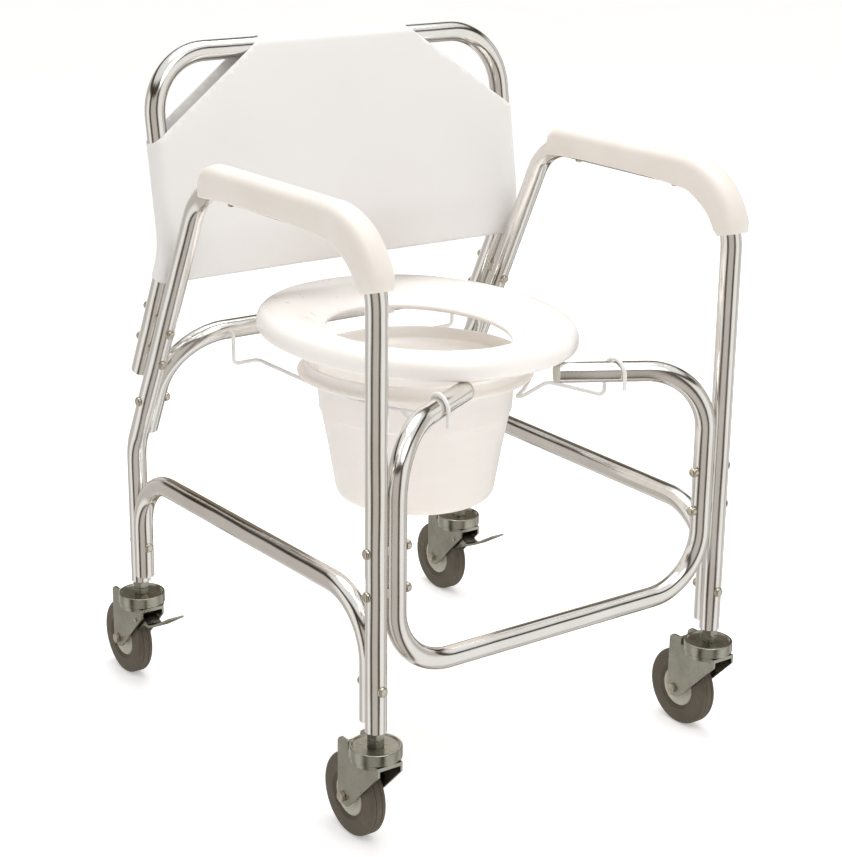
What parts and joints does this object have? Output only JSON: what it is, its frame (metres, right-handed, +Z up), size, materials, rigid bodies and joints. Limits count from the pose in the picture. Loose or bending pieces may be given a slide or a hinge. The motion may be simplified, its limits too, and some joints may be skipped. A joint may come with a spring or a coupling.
{
  "type": "commode chair",
  "caption": "Wheeled commode chair: bent aluminium tube frame, padded arms, cloth back, moulded seat ring that lifts, pail on wire hangers, swivel casters with rear brakes.",
  "frame": {"origin": "on the floor at the middle of the chair's bounding box", "axes": "+Z up; the sitter faces -Y; +X is the sitter's left"},
  "size_m": [0.5938, 0.6744, 0.8708],
  "materials": {
    "frame_aluminium": "polished",
    "pad_vinyl": "satin",
    "sling_vinyl": "coated cloth, satin",
    "seat_plastic": "satin",
    "clip_plastic": "satin",
    "pail_plastic": "satin, slightly translucent",
    "wire_coating": "satin",
    "plug_plastic": "satin",
    "bolt_nickel": "polished",
    "bearing_steel": "polished",
    "caster_zinc": "zinc plated",
    "tyre_rubber": "matte",
    "hub_plastic": "satin"
  },
  "bodies": {
    "frame": {"arm_pad_left": "pad_vinyl", "arm_pad_right": "pad_vinyl", "arm_pad_screws": "bolt_nickel", "back_tube": "frame_aluminium", "back_tube_bolts": "bolt_nickel", "back_tube_spacers": "bolt_nickel", "backrest_sling": "sling_vinyl", "brace_bolts": "bolt_nickel", "caster_cup_front_left": "caster_zinc", "caster_cup_front_right": "caster_zinc", "caster_cup_rear_left": "caster_zinc", "caster_cup_rear_right": "caster_zinc", "caster_nuts": "caster_zinc", "caster_stems": "caster_zinc", "front_frame_bolts": "bolt_nickel", "front_frame_spacers": "bolt_nickel", "front_frame_tube": "frame_aluminium", "leg_inserts": "plug_plastic", "pail_hanger_left": "wire_coating", "pail_hanger_right": "wire_coating", "rear_rail_bolts": "bolt_nickel", "rear_seat_rail": "frame_aluminium", "side_brace_left": "frame_aluminium", "side_brace_right": "frame_aluminium", "side_tube_left": "frame_aluminium", "side_tube_right": "frame_aluminium", "stub_end_plugs": "plug_plastic"},
    "swivel_front_left": {"caster_fork_front_left": "caster_zinc", "swivel_balls_front_left": "bearing_steel", "wheel_axle_front_left": "bolt_nickel"},
    "wheel_front_left": {"wheel_hub_front_left": "hub_plastic", "tyre_front_left": "tyre_rubber"},
    "swivel_front_right": {"caster_fork_front_right": "caster_zinc", "swivel_balls_front_right": "bearing_steel", "wheel_axle_front_right": "bolt_nickel"},
    "wheel_front_right": {"wheel_hub_front_right": "hub_plastic", "tyre_front_right": "tyre_rubber"},
    "swivel_rear_left": {"caster_fork_rear_left": "caster_zinc", "swivel_balls_rear_left": "bearing_steel", "wheel_axle_rear_left": "bolt_nickel", "pedal_pin_rear_left": "bolt_nickel"},
    "wheel_rear_left": {"wheel_hub_rear_left": "hub_plastic", "tyre_rear_left": "tyre_rubber"},
    "swivel_rear_right": {"caster_fork_rear_right": "caster_zinc", "swivel_balls_rear_right": "bearing_steel", "wheel_axle_rear_right": "bolt_nickel", "pedal_pin_rear_right": "bolt_nickel"},
    "wheel_rear_right": {"wheel_hub_rear_right": "hub_plastic", "tyre_rear_right": "tyre_rubber"},
    "brake_rear_left": {"brake_pedal_rear_left": "caster_zinc"},
    "brake_rear_right": {"brake_pedal_rear_right": "caster_zinc"},
    "seat": {"seat_ring": "seat_plastic", "seat_hinge_clips": "clip_plastic"},
    "pail": {"pail": "pail_plastic"}
  },
  "joints": [
    {"name": "swivel_front_left_turn", "type": "hinge", "parent": "frame", "child": "swivel_front_left", "pos_m": [0.258, -0.3063, 0.116], "axis": [0, 0, 1], "continuous": true},
    {"name": "wheel_front_left_roll", "type": "hinge", "parent": "swivel_front_left", "child": "wheel_front_left", "pos_m": [0.258, -0.2638, 0.051], "axis": [1, 0, 0], "continuous": true},
    {"name": "swivel_front_right_turn", "type": "hinge", "parent": "frame", "child": "swivel_front_right", "pos_m": [-0.258, -0.3063, 0.116], "axis": [0, 0, 1], "continuous": true},
    {"name": "wheel_front_right_roll", "type": "hinge", "parent": "swivel_front_right", "child": "wheel_front_right", "pos_m": [-0.258, -0.2638, 0.051], "axis": [1, 0, 0], "continuous": true},
    {"name": "swivel_rear_left_turn", "type": "hinge", "parent": "frame", "child": "swivel_rear_left", "pos_m": [0.266, 0.2437, 0.116], "axis": [0, 0, 1], "continuous": true},
    {"name": "wheel_rear_left_roll", "type": "hinge", "parent": "swivel_rear_left", "child": "wheel_rear_left", "pos_m": [0.266, 0.2862, 0.051], "axis": [1, 0, 0], "continuous": true},
    {"name": "swivel_rear_right_turn", "type": "hinge", "parent": "frame", "child": "swivel_rear_right", "pos_m": [-0.266, 0.2437, 0.116], "axis": [0, 0, 1], "continuous": true},
    {"name": "wheel_rear_right_roll", "type": "hinge", "parent": "swivel_rear_right", "child": "wheel_rear_right", "pos_m": [-0.266, 0.2862, 0.051], "axis": [1, 0, 0], "continuous": true},
    {"name": "brake_rear_left_press", "type": "hinge", "parent": "swivel_rear_left", "child": "brake_rear_left", "pos_m": [0.266, 0.2307, 0.097], "axis": [1, 0, 0], "range_deg": [0, 18]},
    {"name": "brake_rear_right_press", "type": "hinge", "parent": "swivel_rear_right", "child": "brake_rear_right", "pos_m": [-0.266, 0.2307, 0.097], "axis": [1, 0, 0], "range_deg": [0, 18]},
    {"name": "seat_lift", "type": "hinge", "parent": "frame", "child": "seat", "pos_m": [0, 0.16368, 0.501], "axis": [-1, 0, 0], "range_deg": [0, 40]},
    {"name": "pail_slide", "type": "slide", "parent": "frame", "child": "pail", "axis": [0, 1, 0], "range_m": [0, 0.3]}
  ]
}
